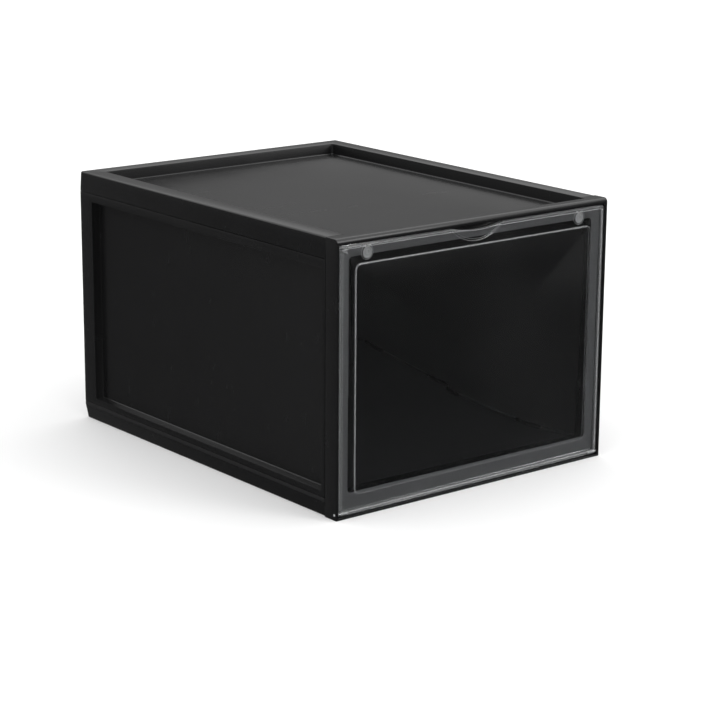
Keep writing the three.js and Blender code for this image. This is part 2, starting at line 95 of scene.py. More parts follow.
def clear_bench():
    """Leaves edit mode and deselects everything, so that a new block stands alone."""
    if bpy.context.object and bpy.context.object.mode == "EDIT":
        bpy.ops.object.mode_set(mode="OBJECT")
    bpy.ops.object.select_all(action="DESELECT")


class Moulding:
    """One piece in the making: a block that is shaped in edit mode and finished by modifiers."""

    def __init__(self, name, low, high):
        low = Vector(low)
        high = Vector(high)
        clear_bench()
        bpy.ops.mesh.primitive_cube_add(size=1, location=(low + high) / 2, scale=high - low)
        self.take(name)

    def take(self, name):
        self.piece = bpy.context.object
        self.piece.name = name
        self.piece.data.name = name
        bpy.ops.object.transform_apply(location=True, rotation=True, scale=True)
        self.edit()
        bpy.ops.mesh.select_all(action="DESELECT")

    def edit(self):
        clear_bench()
        self.piece.select_set(True)
        bpy.context.view_layer.objects.active = self.piece
        bpy.ops.object.mode_set(mode="EDIT")
        return self

    def faces(self, test):
        bpy.ops.mesh.select_mode(type="FACE")
        mesh = bmesh.from_edit_mesh(self.piece.data)
        for face in mesh.faces:
            face.select = bool(test(face.calc_center_median(), face.normal))
        mesh.select_flush_mode()
        bmesh.update_edit_mesh(self.piece.data)
        return self

    def edges(self, test):
        """Selects edges by a test of their middle and their direction."""
        bpy.ops.mesh.select_mode(type="EDGE")
        mesh = bmesh.from_edit_mesh(self.piece.data)
        for face in mesh.faces:
            face.select = False
        for edge in mesh.edges:
            start, end = (v.co for v in edge.verts)
            edge.select = bool(test((start + end) / 2, (end - start).normalized()))
        mesh.select_flush_mode()
        bmesh.update_edit_mesh(self.piece.data)
        return self

    def points(self, test):
        bpy.ops.mesh.select_mode(type="VERT")
        mesh = bmesh.from_edit_mesh(self.piece.data)
        for vertex in mesh.verts:
            vertex.select = bool(test(vertex.co))
        mesh.select_flush_mode()
        bmesh.update_edit_mesh(self.piece.data)
        return self

    def score(self, region, **levels):
        """Cuts lines across the faces that pass the test, at levels such as x=[-0.1, 0.1]."""
        for axis, places in levels.items():
            across = Vector((axis == "x", axis == "y", axis == "z"))
            for place in places:
                self.faces(region)
                bpy.ops.mesh.bisect(plane_co=across * place, plane_no=across)
        return self

    def saw_off_front(self, level):
        bpy.ops.mesh.select_all(action="SELECT")
        bpy.ops.mesh.bisect(plane_co=(0, level, 0), plane_no=(0, 1, 0), use_fill=True, clear_inner=True)
        return self

    def extrude(self, x=0.0, y=0.0, z=0.0):
        bpy.ops.mesh.extrude_region_move(TRANSFORM_OT_translate={"value": (x, y, z)})
        return self

    def move(self, x=0.0, y=0.0, z=0.0):
        bpy.ops.transform.translate(value=(x, y, z))
        return self

    def tidy(self):
        """Takes out the scored lines that turned out flat."""
        bpy.ops.mesh.select_all(action="SELECT")
        bpy.ops.mesh.dissolve_limited(angle_limit=math.radians(0.5))
        bpy.ops.mesh.select_all(action="DESELECT")
        return self

    def round_off(self, radius, steps=4):
        bpy.ops.mesh.bevel(offset=radius, segments=steps, profile=0.5, affect="EDGES", clamp_overlap=False)
        return self

    def ease(self, radius, steps=2, sharper_than=50):
        """Rounds every edge that is still sharp, as the mould's own edges are."""
        bpy.ops.mesh.select_mode(type="EDGE")
        bpy.ops.mesh.select_all(action="DESELECT")
        bpy.ops.mesh.edges_select_sharp(sharpness=math.radians(sharper_than))
        return self.round_off(radius, steps)

    def combine(self, other, operation):
        clear_bench()
        self.piece.select_set(True)
        bpy.context.view_layer.objects.active = self.piece
        modifier = self.piece.modifiers.new("with " + other.piece.name, "BOOLEAN")
        modifier.operation = operation
        modifier.solver = "EXACT"
        modifier.object = other.piece
        bpy.ops.object.modifier_apply(modifier=modifier.name)
        bpy.data.objects.remove(other.piece)
        return self.edit()

    def join(self, other):
        return self.combine(other, "UNION")

    def cut(self, other):
        return self.combine(other, "DIFFERENCE")

    def keep(self, other):
        return self.combine(other, "INTERSECT")

    def finish(self, smooth_under=32):
        clear_bench()
        self.piece.select_set(True)
        bpy.context.view_layer.objects.active = self.piece
        bpy.ops.object.shade_smooth_by_angle(angle=math.radians(smooth_under))
        return self.piece


def near(value, target, tolerance=0.05 * MM):
    return abs(value - target) < tolerance


class Value:
    """A shader socket that can be used in sums."""

    def __init__(self, finish, socket):
        self.finish = finish
        self.socket = socket

    def math(self, operation, *operands):
        inputs = dict(enumerate(operands))
        return self.finish.node("ShaderNodeMath", {"operation": operation}, inputs)

    def __add__(self, other):
        return self.math("ADD", self, other)

    def __radd__(self, other):
        return self.math("ADD", other, self)

    def __sub__(self, other):
        return self.math("SUBTRACT", self, other)

    def __rsub__(self, other):
        return self.math("SUBTRACT", other, self)

    def __mul__(self, other):
        return self.math("MULTIPLY", self, other)

    def __rmul__(self, other):
        return self.math("MULTIPLY", other, self)

    def __abs__(self):
        return self.math("ABSOLUTE", self)

    def least(self, other):
        return self.math("MINIMUM", self, other)

    def most(self, other):
        return self.math("MAXIMUM", self, other)

    def root(self):
        return self.math("SQRT", self)

    def sine(self):
        return self.math("SINE", self)

    def between(self, low, high):
        """0 below low, 1 above high, and a smooth step from one to the other."""
        settings = {"interpolation_type": "SMOOTHSTEP"}
        inputs = {"Value": self, "From Min": low, "From Max": high}
        return self.finish.node("ShaderNodeMapRange", settings, inputs, "Result")


class Finish:
    """One material, or the light round the box, put together node by node."""

    def __init__(self, name, shelf=bpy.data.materials, place="Object"):
        self.material = shelf.new(name)
        self.material.use_nodes = True
        self.tree = self.material.node_tree
        self.tree.nodes.clear()
        self.place = self.node("ShaderNodeTexCoord", {}, {}, place)
        split = self.tree.nodes.new("ShaderNodeSeparateXYZ")
        self.tree.links.new(self.place.socket, split.inputs[0])
        self.x, self.y, self.z = (Value(self, socket) for socket in split.outputs)

    def node(self, kind, settings, inputs, output=0):
        node = self.tree.nodes.new(kind)
        for key, value in settings.items():
            setattr(node, key, value)
        for key, value in inputs.items():
            if isinstance(value, Value):
                self.tree.links.new(value.socket, node.inputs[key])
            else:
                node.inputs[key].default_value = value
        return Value(self, node.outputs[output])

    def noise(self, scale, detail=2, stretch=(1, 1, 1)):
        where = self.node("ShaderNodeMapping", {}, {"Vector": self.place, "Scale": stretch})
        return self.node(
            "ShaderNodeTexNoise", {}, {"Vector": where, "Scale": scale, "Detail": detail}, "Fac")

    def blend(self, factor, first, second):
        inputs = {"Factor": factor, 6: first, 7: second}
        return self.node("ShaderNodeMix", {"data_type": "RGBA"}, inputs, 2)

    def bump(self, height, depth):
        return self.node(
            "ShaderNodeBump", {}, {"Height": height, "Strength": 1, "Distance": depth}, "Normal")

    def edge(self, radius):
        """1 along the rounded edges and 0 on the flats."""
        eased = self.node("ShaderNodeBevel", {"samples": 6}, {"Radius": radius})
        flat = self.node("ShaderNodeNewGeometry", {}, {}, "Normal")
        same = self.node(
            "ShaderNodeVectorMath", {"operation": "DOT_PRODUCT"}, {0: eased, 1: flat}, "Value")
        return (1 - abs(same)).between(0.01, 0.12)

    def surface(self, shader):
        output = self.tree.nodes.new("ShaderNodeOutputMaterial")
        self.tree.links.new(shader.socket, output.inputs["Surface"])

    def put_on(self, *pieces):
        for piece in pieces:
            piece.data.materials.clear()
            piece.data.materials.append(self.material)


black_tone = 0.0058


def black_moulding(name, matt_faces_and_painted_light=None, matt_and_painted_light_tone=0.013):
    """Black plastic: an even satin skin with a fine grain, faint flow marks and handled edges.

    The second argument gives, from the finish, a mask of faces made less glossy and paler, and the third is
    how pale they are. On the flange behind the door that paler tone is painted light.
    """
    finish = Finish(name)
    matt_and_painted_light = matt_faces_and_painted_light(finish) if matt_faces_and_painted_light else 0
    cloud = finish.noise(22, 3)
    flow = finish.noise(60, 3, (1, 0.15, 1))
    grain = finish.noise(1700, 2)
    scuffs = finish.noise(45, 4, (0.25, 3, 1)).between(0.62, 0.75)
    worn = finish.edge(0.5 * MM) * finish.noise(90, 3).between(0.3, 0.7)
    deep_black = (black_tone, black_tone, black_tone * 1.05, 1)
    rubbed_black = (0.014, 0.014, 0.0145, 1)
    matt_and_painted_light_black = (matt_and_painted_light_tone, matt_and_painted_light_tone, matt_and_painted_light_tone * 1.03, 1)
    colour = finish.blend(cloud * 0.25 + worn * 0.5 + scuffs * 0.1, deep_black, rubbed_black)
    # Less glossy faces take the paler tone; on the flange behind the door this is painted light.
    colour = finish.blend(matt_and_painted_light, colour, matt_and_painted_light_black)
    roughness = 0.20 + cloud * 0.06 + flow * 0.04 + scuffs * 0.03 + worn * 0.06 + matt_and_painted_light * 0.3
    relief = grain * 0.8 + flow * 0.6
    finish.surface(finish.node("ShaderNodeBsdfPrincipled", {}, {
        "Base Color": colour,
        "Roughness": roughness,
        "IOR": 1.5,
        "Specular IOR Level": 0.5,
        "Normal": finish.bump(relief, 0.006 * MM),
    }, "BSDF"))
    return finish




top_low, top_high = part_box("top_panel")
frame_low, frame_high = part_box("front_frame")
seam = 0.3 * MM
wall = 2.2 * MM
half_width = top_high[0]
back = top_high[1]
box_top = top_high[2]
top_seam = top_low[2]
panel_front = frame_high[1] + seam
rim_width = 16.5 * MM
tray_half = half_width - rim_width
tray_back = back - rim_width
tray_floor = box_top - 10 * MM
skirt_wall = wall + 0.7 * MM


def mould_top():
    lean = skirt_wall - wall
    hollow_half = half_width - skirt_wall
    hollow_back = back - skirt_wall
    stop = panel_front - spare / 2
    tongue_gap = 0.3 * MM

    part = Moulding("top_cover", (-half_width, panel_front - spare, top_seam), (half_width, back, box_top))
    part.points(lambda at: near(at.z, box_top) and at.x < 0).move(x=lean)
    part.points(lambda at: near(at.z, box_top) and at.x > 0).move(x=-lean)
    part.points(lambda at: near(at.z, box_top) and at.y > 0).move(y=-lean)

    is_top = lambda at, normal: normal.z > 0.9
    part.score(is_top, x=[-tray_half, tray_half], y=[stop, tray_back])
    part.faces(lambda at, normal: normal.z > 0.9 and abs(at.x) < tray_half and stop < at.y < tray_back)
    part.extrude(z=tray_floor - box_top)

    is_under = lambda at, normal: normal.z < -0.9
    part.score(is_under, x=[-hollow_half, hollow_half], y=[stop, hollow_back])
    part.score(is_under, x=[-tray_half - wall, tray_half + wall], y=[tray_back + wall])
    part.faces(lambda at, normal: normal.z < -0.9 and abs(at.x) < hollow_half and stop < at.y < hollow_back)
    part.extrude(z=tray_floor - wall - top_seam)
    part.faces(lambda at, normal: normal.z < -0.9 and near(at.z, tray_floor - wall)
               and (abs(at.x) > tray_half + wall or at.y > tray_back + wall))
    part.extrude(z=box_top - tray_floor)
    part.saw_off_front(panel_front).tidy()

    outer_half = half_width - lean
    part.edges(lambda at, along: abs(along.z) > 0.9 and at.y > back - MM and abs(at.x) > outer_half - MM)
    part.round_off(1.6 * MM)
    part.edges(lambda at, along: abs(along.z) > 0.9
               and near(at.y, tray_back) and near(abs(at.x), tray_half))
    part.round_off(2 * MM)
    part.edges(lambda at, along: near(at.z, box_top) and (
        abs(at.x) > outer_half - 2 * MM or at.y > back - 3 * MM) and at.y > panel_front + seam)
    part.round_off(1.6 * MM, 5)
    part.edges(lambda at, along: near(at.z, tray_floor) and at.y > panel_front + seam)
    part.round_off(1.2 * MM, 3)
    part.ease(0.4 * MM)
    tongue = Moulding(
        "tongue",
        (-tray_half + tongue_gap, top_low[1], tray_floor - wall),
        (tray_half - tongue_gap, panel_front + wall, tray_floor))
    return part.join(tongue).finish()


def rim_top(finish):
    """The rim is a little less glossy than the tray, and as black."""
    return finish.z.between(box_top - 1.5 * MM, box_top - 0.8 * MM) * 0.25


top_cover = mould_top()
black_moulding("top_skin", rim_top, black_tone).put_on(top_cover)
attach(top_cover, "carcass")
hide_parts("top_panel")


# ---- Base ------------------------------------------------------------------------------------
# The floor of the box with an upstanding edge, inside a skirt that leans in towards the table.
# Low ribs stiffen the floor from below.

base_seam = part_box("bottom_panel")[1][2]
base_wall = 3.4 * MM
floor_sunk = 2.2 * MM


def mould_base():
    floor = base_seam - floor_sunk
    ceiling = floor - wall
    lean = 1.7 * MM
    rib_depth = 3 * MM
    ribs_across = 5
    ribs_along = 3
    inner_half = half_width - base_wall
    inner_back = back - base_wall

    part = Moulding("base", (-half_width, panel_front, 0), (half_width, back, floor))
    part.score(lambda at, normal: normal.z > 0.9, x=[-inner_half, inner_half], y=[inner_back])
    part.faces(lambda at, normal: normal.z > 0.9 and (abs(at.x) > inner_half or at.y > inner_back))
    part.extrude(z=base_seam - floor)
    part.score(lambda at, normal: normal.z < -0.9,
               x=[-inner_half, inner_half], y=[panel_front + wall, inner_back])
    part.faces(lambda at, normal: normal.z < -0.9 and abs(at.x) < inner_half
               and panel_front + wall < at.y < inner_back)
    part.extrude(z=ceiling)
    part.points(lambda at: near(at.z, 0) and near(at.x, -half_width)).move(x=lean)
    part.points(lambda at: near(at.z, 0) and near(at.x, half_width)).move(x=-lean)
    part.points(lambda at: near(at.z, 0) and near(at.y, back)).move(y=-lean)
    part.tidy()
    part.edges(lambda at, along: abs(along.z) > 0.9 and at.y > back - 2 * MM)
    part.round_off(1.6 * MM)
    part.ease(0.5 * MM)

    half_rib = wall / 2
    overlap = 0.3 * MM
    pitch_x = 2 * inner_half / ribs_along
    pitch_y = (inner_back - panel_front) / ribs_across
    for i in range(ribs_along):
        x = -inner_half + pitch_x * (i + 0.5)
        rib = Moulding("rib", (x - half_rib, panel_front + overlap, ceiling - rib_depth),
                       (x + half_rib, inner_back + overlap, floor - half_rib))
        part.join(rib)
    for i in range(ribs_across):
        y = panel_front + pitch_y * (i + 0.5)
        rib = Moulding("rib", (-inner_half - overlap, y - half_rib, ceiling - rib_depth),
                       (inner_half + overlap, y + half_rib, floor - half_rib))
        part.join(rib)
    return part.finish()


def floor_and_above(finish):
    """The floor, and the upper edge of the skirt round it."""
    return finish.z.between(base_seam - 3 * MM, base_seam - 2.5 * MM)


base = mould_base()
black_moulding("base_skin", floor_and_above).put_on(base)
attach(base, "carcass")
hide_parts("bottom_panel")


# ---- Side and back panels --------------------------------------------------------------------
# Each is a thin moulding: a flat border flush with the skirts, round a field sunk by 8 mm. Tabs
# behind its edges snap into the top, the base and the front frame.

sunk = 8 * MM
border_back = 18.8 * MM
panel_bottom = base_seam + seam
panel_top = top_seam - seam
field_bottom = base_seam + 5.7 * MM
field_top = top_seam - 7.5 * MM
field_front = frame_high[1] + 5 * MM
field_back = back - border_back
tab_width = 30 * MM
tab_reach = 5 * MM
tab_thickness = 2 * MM
tab_root = 4 * MM
tab_inset = 0.5 * MM
top_root_z = (panel_top - tab_root + tab_inset, panel_top - tab_inset)
top_tongue_z = (panel_top - tab_root, panel_top + tab_reach)
base_root_z = (panel_bottom + tab_inset, panel_bottom + tab_root - tab_inset)
base_tongue_z = (base_seam - floor_sunk + seam, panel_bottom + tab_root)


def middles(count, low, high):
    pitch = (high - low) / count
    return [low + pitch * (i + 0.5) for i in range(count)]


def mould_side(name, side):
    """side is -1 for the left panel and 1 for the right one."""
    outer = side * half_width

    def block(label, inwards, y, z):
        """A block given by its distances in from the outer face, and its ranges along Y and Z."""
        x = sorted(outer - side * reach for reach in inwards)
        return Moulding(label, (x[0], y[0], z[0]), (x[1], y[1], z[1]))

    part = block(name, (0, wall), (panel_front, back), (panel_bottom, panel_top))
    inner_face = outer - side * wall
    part.score(lambda at, normal: normal.x * side > 0.9,
               y=[field_front, field_back], z=[field_bottom, field_top])
    part.score(lambda at, normal: normal.x * side < -0.9,
               y=[field_front - wall, field_back + wall], z=[field_bottom - wall, field_top + wall])
    part.faces(lambda at, normal: normal.x * side < -0.9 and field_front - wall < at.y < field_back + wall
               and field_bottom - wall < at.z < field_top + wall)
    part.extrude(x=-side * sunk)
    part.faces(lambda at, normal: normal.x * side > 0.9 and field_front < at.y < field_back
               and field_bottom < at.z < field_top)
    part.extrude(x=-side * sunk)
    part.tidy()
    part.edges(lambda at, along: near(at.y, back) and near(at.x, outer) and abs(along.z) > 0.9)
    part.round_off(1.6 * MM, 5)
    part.edges(lambda at, along: near(at.x, outer - side * sunk))
    part.round_off(0.8 * MM, 3)
    part.ease(0.4 * MM)

    for y in middles(3, field_front, field_back):
        along = (y - tab_width / 2, y + tab_width / 2)
        within = (along[0] + tab_inset, along[1] - tab_inset)
        for beside, root_z, tongue_z in (
                (skirt_wall, top_root_z, top_tongue_z), (base_wall, base_root_z, base_tongue_z)):
            gap = beside + seam
            part.join(block("root", (wall / 2, gap + tab_inset), within, root_z))
            part.join(block("tongue", (gap, gap + tab_thickness), along, tongue_z))
    for z in middles(2, field_bottom, field_top):
        along = (z - tab_width / 2, z + tab_width / 2)
        within = (along[0] + tab_inset, along[1] - tab_inset)
        gap = wall + seam
        part.join(block("root", (wall / 2, gap + tab_inset),
                        (panel_front + tab_inset, panel_front + tab_root - tab_inset), within))
        part.join(block("tongue", (gap, gap + tab_thickness),
                        (panel_front - tab_reach, panel_front + tab_root), along))
    return part.finish()


def inside_of_sides(finish):
    return 1 - abs(finish.x).between(half_width - sunk - 1.4 * MM, half_width - sunk - 0.8 * MM)


def inside_of_back(finish):
    return 1 - finish.y.between(back - sunk - 1.4 * MM, back - sunk - 0.8 * MM)


def mould_back():
    border_half = half_width - wall - seam
    field_half = half_width - border_back
    inner_face = back - wall
    part = Moulding("back_cover", (-border_half, inner_face, panel_bottom), (border_half, back, panel_top))
    part.score(lambda at, normal: normal.y > 0.9, x=[-field_half, field_half], z=[field_bottom, field_top])
    part.score(lambda at, normal: normal.y < -0.9,
               x=[-field_half - wall, field_half + wall], z=[field_bottom - wall, field_top + wall])
    part.faces(lambda at, normal: normal.y < -0.9 and abs(at.x) < field_half + wall
               and field_bottom - wall < at.z < field_top + wall)
    part.extrude(y=-sunk)
    part.faces(lambda at, normal: normal.y > 0.9 and abs(at.x) < field_half
               and field_bottom < at.z < field_top)
    part.extrude(y=-sunk)
    part.tidy()
    part.edges(lambda at, along: near(at.y, back - sunk))
    part.round_off(0.8 * MM, 3)
    part.ease(0.4 * MM)

    for x in middles(3, -field_half, field_half):
        along = (x - tab_width / 2, x + tab_width / 2)
        for beside, root_z, tongue_z in (
                (skirt_wall, top_root_z, top_tongue_z), (base_wall, base_root_z, base_tongue_z)):
            face = back - beside - seam
            part.join(Moulding(
                "root",
                (along[0] + tab_inset, face - tab_inset, root_z[0]),
                (along[1] - tab_inset, back - wall / 2, root_z[1])))
            part.join(Moulding(
                "tongue", (along[0], face - tab_thickness, tongue_z[0]), (along[1], face, tongue_z[1])))
    for z in middles(2, field_bottom, field_top):
        for side in (-1, 1):
            ends = sorted((side * (border_half - tab_inset), side * (border_half - tab_thickness)))
            part.join(Moulding(
                "tongue",
                (ends[0], inner_face - tab_reach, z - tab_width / 2),
                (ends[1], back - wall / 2, z + tab_width / 2)))
    return part.finish()


left_side = mould_side("left_side", -1)
right_side = mould_side("right_side", 1)
back_cover = mould_back()
black_moulding("side_skin", inside_of_sides).put_on(left_side, right_side)
black_moulding("back_skin", inside_of_back).put_on(back_cover)
for panel, node in (
        (left_side, "left_side_panel"), (right_side, "right_side_panel"), (back_cover, "back_panel")):
    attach(panel, "carcass")
    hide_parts(node)


# ---- Front frame -----------------------------------------------------------------------------
# A deep moulded frame round the access opening. The door lies in its rebate; a thin lip runs
# below the door, and the upper bar rises to the level of the rim. Behind, it is an open channel.

front = frame_low[1]
frame_back = frame_high[1]
border = 2.2 * MM
bottom_lip = 1.4 * MM
pin_low, pin_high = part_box("hinge_pin_left")
hinge_y = (pin_low[1] + pin_high[1]) / 2
hinge_z = (pin_low[2] + pin_high[2]) / 2
pin_radius = (pin_high[2] - pin_low[2]) / 2
pin_inner_end = abs(pin_high[0])
pin_gap = 0.25 * MM
magnet_low, magnet_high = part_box("frame_magnet_left")
rebate_floor = magnet_low[1]
magnet_x = abs(magnet_low[0] + magnet_high[0]) / 2
magnet_z = (magnet_low[2] + magnet_high[2]) / 2
magnet_radius = (magnet_high[2] - magnet_low[2]) / 2
notch_half_width = 29 * MM
notch_drop = 4 * MM
notch_radius = (notch_half_width ** 2 + notch_drop ** 2) / (2 * notch_drop)
notch_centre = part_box("door")[1][2] - notch_drop + notch_radius


class Rod(Moulding):
    """A round bar in the making, along X or along Y."""

    def __init__(self, name, radius, start, end, steps=48):
        start = Vector(start)
        end = Vector(end)
        turn = (0, math.pi / 2, 0) if abs(end.x - start.x) > 0 else (math.pi / 2, 0, 0)
        clear_bench()
        bpy.ops.mesh.primitive_cylinder_add(
            vertices=steps, radius=radius, depth=(end - start).length, location=(start + end) / 2,
            rotation=turn)
        self.take(name)


def rounded_block(low, high, radius, steps=8):
    """A block whose four edges along Y are rounded."""
    block = Moulding("rounded", low, high)
    block.edges(lambda at, along: abs(along.y) > 0.9)
    return block.round_off(radius, steps)


def mould_front():
    rebate_half = half_width - border
    rebate_top = box_top - 5.1 * MM
    opening_half = half_width - 14 * MM
    opening_top = box_top - 15.5 * MM
    opening_bottom = 19 * MM
    flange_back = rebate_floor + wall
    channel_half = half_width - wall
    sleeve_half = opening_half + wall
    beyond = frame_back + spare

    part = Moulding("front_surround", (-half_width, front, 0), (half_width, frame_back, box_top))
    part.score(lambda at, normal: normal.y < -0.9,
               x=[-rebate_half, rebate_half], z=[bottom_lip, rebate_top])
    part.faces(lambda at, normal: normal.y < -0.9 and abs(at.x) < rebate_half
               and bottom_lip < at.z < rebate_top)
    part.extrude(y=rebate_floor - front)
    part.tidy()
    part.edges(lambda at, along: near(at.y, front) and near(at.z, box_top))
    part.round_off(3.5 * MM, 10)
    part.cut(rounded_block(
        (-opening_half, front - spare, opening_bottom), (opening_half, beyond, opening_top), 3 * MM))
    part.cut(Moulding(
        "tray seat",
        (-tray_half, front + 9.5 * MM, tray_floor - wall - seam),
        (tray_half, beyond, box_top + spare)))
    part.ease(0.45 * MM, 3)
    part.cut(Moulding(
        "channel",
        (-channel_half, flange_back, bottom_lip),
        (channel_half, beyond, opening_bottom - wall)))
    for side in (-1, 1):
        ends = sorted((side * channel_half, side * sleeve_half))
        part.cut(Moulding(
            "channel", (ends[0], flange_back, bottom_lip + wall / 2), (ends[1], beyond, box_top - wall)))
        part.cut(Rod(
            "pin hole", pin_radius + pin_gap,
            (side * (half_width + spare), hinge_y, hinge_z),
            (side * (rebate_half - spare), hinge_y, hinge_z)))
        part.cut(Rod(
            "magnet pocket", magnet_radius + seam,
            (side * magnet_x, rebate_floor - spare, magnet_z),
            (side * magnet_x, magnet_high[1] + seam, magnet_z)))
    return part.finish()


def flange_painted_light(finish):
    """The flange behind the door is less glossy and painted a mid grey, paler than the rest of the frame:
    painted light where light through the clear door falls on it.

    The part of it that the finger scoop leaves bare is black.
    """
    level = finish.y.between(rebate_floor - 0.3 * MM, rebate_floor - 0.1 * MM)
    level = level * (1 - finish.y.between(rebate_floor + 0.1 * MM, rebate_floor + 0.3 * MM))
    level = level * (1 - abs(finish.x).between(half_width - 1.8 * MM, half_width - 1.5 * MM))
    level = level * (1 - finish.z.between(box_top - 3.5 * MM, box_top - 3 * MM))
    level = level * finish.z.between(bottom_lip - 0.5 * MM, bottom_lip - 0.2 * MM)
    up = finish.z - notch_centre
    from_centre = (finish.x * finish.x + up * up).root()
    return level * from_centre.between(notch_radius - 0.3 * MM, notch_radius + 0.3 * MM)


front_surround = mould_front()
# Painted light: the flange behind the door is painted this paler grey, where light through the door falls.
painted_flange_light_tone = 0.21
black_moulding("frame_skin", flange_painted_light, painted_flange_light_tone).put_on(front_surround)
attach(front_surround, "carcass")
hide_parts("front_frame")


# ---- Door ------------------------------------------------------------------------------------
# One clear moulding: a plate with a rim turned back round its edge, a raised field in the middle
# and a finger scoop in its upper edge. Sockets behind the plate hold the two catch discs, and its
# lower corners are bored for the pins.

door_low, door_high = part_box("door")
disc_low, disc_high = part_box("door_disc_left")
disc_x = abs(disc_low[0] + disc_high[0]) / 2
disc_z = (disc_low[2] + disc_high[2]) / 2
disc_radius = (disc_high[2] - disc_low[2]) / 2
door_half = door_high[0]
door_bottom = door_low[2]
door_top = door_high[2]
rim = 3 * MM
field_margin = 15.6 * MM
field_round = 5 * MM


def mould_door():
    plate = 2.2 * MM
    raised = 0.8 * MM
    front_round = 2.7 * MM
    corner_round = 3 * MM
    barrel = hinge_z - door_bottom
    collar = 1 * MM
    door_front = door_low[1]
    door_back = door_high[1]
    plate_front = door_front + raised
    plate_back = plate_front + plate
    behind = door_back + spare

    def outline(inset, y, radius, above_bottom=None):
        bottom = door_bottom + (above_bottom or inset)
        return rounded_block(
            (-door_half + inset, y[0], bottom), (door_half - inset, y[1], door_top - inset), radius)

    part = outline(0, (door_front, door_back), corner_round)
    part.piece.name = "clear_door"
    part.piece.data.name = "clear_door"
    part.edges(lambda at, along: near(at.y, door_front))
    part.round_off(front_round, 8)
    part.cut(outline(rim, (plate_back, behind), corner_round / 2, 2 * barrel))
    sunk_border = outline(rim, (door_front - spare, plate_front), corner_round / 2)
    sunk_border.cut(outline(field_margin, (door_front - 2 * spare, plate_front + spare), field_round))
    part.cut(sunk_border)
    part.cut(outline(field_margin + wall / 2, (plate_back - raised, behind), field_round))
    part.ease(0.25 * MM, 3)
    relief = Moulding(
        "relief",
        (-door_half - spare, hinge_y, door_bottom - spare),
        (door_half + spare, behind, hinge_z))
    relief.cut(Rod(
        "barrel", barrel, (-door_half - 2 * spare, hinge_y, hinge_z),
        (door_half + 2 * spare, hinge_y, hinge_z), 96))
    part.cut(relief)

    pocket_drop = 11.3 * MM
    pocket_half_width = 26 * MM
    pocket_radius = (pocket_half_width ** 2 + pocket_drop ** 2) / (2 * pocket_drop)
    pocket_centre = door_top - pocket_drop + pocket_radius

    def scoop(centre, radius, y):
        return Rod("scoop", radius, (0, y[0], centre), (0, y[1], centre), 480)

    def on_arc(at, centre, radius):
        return near(math.hypot(at.x, at.z - centre), radius, 0.03 * MM)

    pocket_wall = scoop(
        pocket_centre, pocket_radius + 1.6 * MM, (plate_back - plate / 2, door_back - 0.05 * MM))
    pocket_wall.keep(Moulding(
        "edge", (-door_half, front, door_bottom), (door_half, behind, door_top - rim / 2)))
    part.join(pocket_wall)
    for side in (-1, 1):
        x = side * disc_x
        part.join(Rod(
            "collar", disc_radius + seam + collar,
            (x, disc_low[1] - seam, disc_z), (x, disc_high[1] - 0.05 * MM, disc_z)))
    part.cut(scoop(pocket_centre, pocket_radius, (plate_back, behind)))
    part.cut(scoop(notch_centre, notch_radius, (door_front - spare, behind)))
    part.edges(lambda at, along: abs(at.x) < 24 * MM and abs(along.y) < 0.1
               and on_arc(at, pocket_centre, pocket_radius)
               and near(at.y, door_back - 0.05 * MM, 0.02 * MM))
    part.round_off(0.35 * MM, 3)
    for side in (-1, 1):
        x = side * disc_x
        part.cut(Rod(
            "socket", disc_radius + seam, (x, disc_low[1] - seam, disc_z), (x, behind, disc_z)))
        part.cut(Rod(
            "pin hole", pin_radius + pin_gap,
            (side * (door_half + spare), hinge_y, hinge_z),
            (side * (pin_inner_end - seam), hinge_y, hinge_z)))
    return part.finish(40)


def clear_moulding(name):
    """Clear plastic: polished, with faint smears, and a painted glow of pale white along its edges, its rim
    band, its rim lines and its field outline, where light leaves it.
    """
    finish = Finish(name)
    from_edge = (door_half - abs(finish.x)).least(finish.z - door_bottom).least(door_top - finish.z)
    # Painted glow across the rim band of the door.
    painted_rim_band = 1 - from_edge.between(rim - 0.3 * MM, rim + 0.1 * MM)
    smears = finish.noise(14, 4, (1, 1, 0.5)).between(0.45, 0.75)
    stipple = finish.noise(2600, 2)
    # Painted highlight: the door's rounded edges are mixed towards the pale white shader.
    edge = finish.edge(0.7 * MM)
    beside = (abs(finish.x) - (door_half - field_margin - field_round)).most(0)
    above = abs(finish.z - (door_top + door_bottom) / 2)
    above = (above - ((door_top - door_bottom) / 2 - field_margin - field_round)).most(0)
    from_field = abs((beside * beside + above * above).root() - field_round)
    # Painted highlights along the outline of the raised field and along the rim lines.
    painted_field_line = 1 - from_field.between(0.2 * MM, 0.5 * MM)
    painted_rim_lines = 1 - abs(from_edge - rim).least(abs(from_edge - 0.5 * MM)).between(0.3 * MM, 0.6 * MM)
    # A pale white diffuse shader: it gives the faint smear haze and the painted glow.
    milk_and_painted_glow = finish.node("ShaderNodeBsdfPrincipled", {}, {
        "Base Color": (0.86, 0.87, 0.88, 1),
        "Roughness": 0.3 + smears * 0.1,
        "Normal": finish.bump(stipple, 0.004 * MM),
    }, "BSDF")
    clear = finish.node("ShaderNodeBsdfPrincipled", {}, {
        "Base Color": (0.95, 0.96, 0.965, 1),
        "Roughness": 0.015 + smears * 0.02,
        "IOR": 1.49,
        "Transmission Weight": 1,
        "Normal": finish.bump(finish.noise(35, 1), 0.01 * MM),
    }, "BSDF")
    # Faint haze from the smears, plus painted glow on the rim band, the rim lines, the field outline and
    # the edges.
    haze_and_painted_glow = 0.005 + smears * 0.004 + painted_rim_band * 0.015 + (painted_rim_lines + painted_field_line) * 0.12 + edge * 0.8
    finish.surface(finish.node("ShaderNodeMixShader", {}, {0: haze_and_painted_glow, 1: clear, 2: milk_and_painted_glow}, 0))
    return finish


